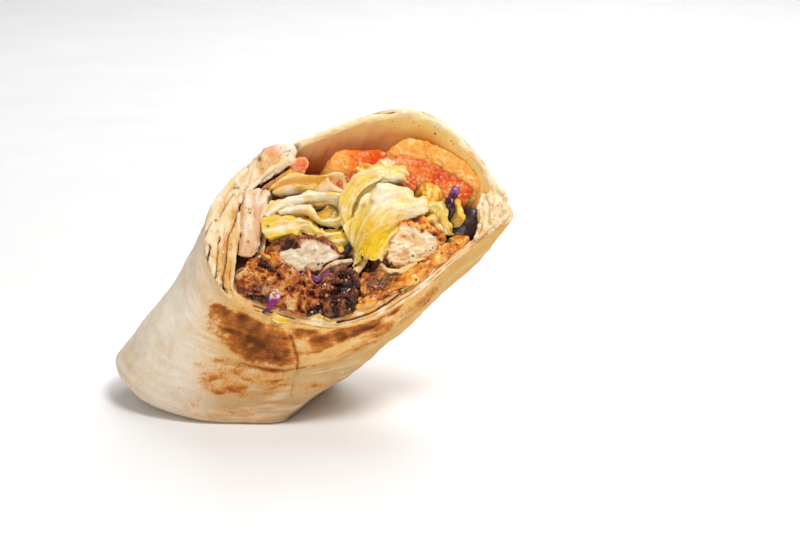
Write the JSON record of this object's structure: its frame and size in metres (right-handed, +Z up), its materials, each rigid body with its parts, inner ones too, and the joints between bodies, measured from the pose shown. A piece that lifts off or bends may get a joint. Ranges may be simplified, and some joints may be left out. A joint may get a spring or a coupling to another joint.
{
  "type": "chicken wrap half",
  "caption": "Half of a rolled flour tortilla wrap, cut on the slant and standing on its folded end, with breaded chicken, lettuce, tomato, cheese, cabbage and beans in the cut.",
  "frame": {"origin": "on the surface it stands on, under the middle of the whole piece", "axes": "+Z up, +X along its length towards the raised right-hand tip of the cut, -Y towards the viewer who faces the cut"},
  "size_m": [0.1309, 0.0684, 0.0952],
  "materials": {
    "tortilla": "matte floury crumb with toasted patches",
    "chicken_meat": "moist fibrous white meat",
    "crispy_crust": "rough fried crumb with a thin glaze",
    "dark_crust": "dark fried crumb, wet with sauce",
    "tomato": "wet translucent flesh",
    "lettuce": "thin translucent leaf with pale ribs",
    "purple_cabbage": "crisp shred with a pale core",
    "onion": "thin translucent slice",
    "melted_cheese": "soft melted shreds",
    "black_beans": "smooth dark skin with a dull sheen"
  },
  "bodies": {
    "root": {"bean_middle": "black_beans", "bean_right": "black_beans", "cabbage_dark": "purple_cabbage", "cabbage_left": "purple_cabbage", "cabbage_middle": "purple_cabbage", "cabbage_right": "purple_cabbage", "cheese_clump": "melted_cheese", "cheese_shred": "melted_cheese", "cheese_strip": "melted_cheese", "cheese_upper": "melted_cheese", "chicken_crisp_left": "crispy_crust", "chicken_crisp_middle": "crispy_crust", "chicken_crisp_right": "crispy_crust", "chicken_dark": "dark_crust", "chicken_white_left": "chicken_meat", "chicken_white_right": "chicken_meat", "lettuce_bit_left": "lettuce", "lettuce_bit_right": "lettuce", "lettuce_fold_low": "lettuce", "lettuce_fold_middle": "lettuce", "lettuce_fold_top": "lettuce", "lettuce_frill": "lettuce", "lettuce_frill_inner": "lettuce", "lettuce_heart": "lettuce", "lettuce_tail": "lettuce", "onion_left": "onion", "onion_right": "onion", "tomato_bit_left": "tomato", "tomato_dice": "tomato", "tomato_slice_lower": "tomato", "tomato_slice_upper": "tomato", "tomato_small": "tomato", "tomato_wedge": "tomato", "tortilla": "tortilla"}
  },
  "joints": []
}
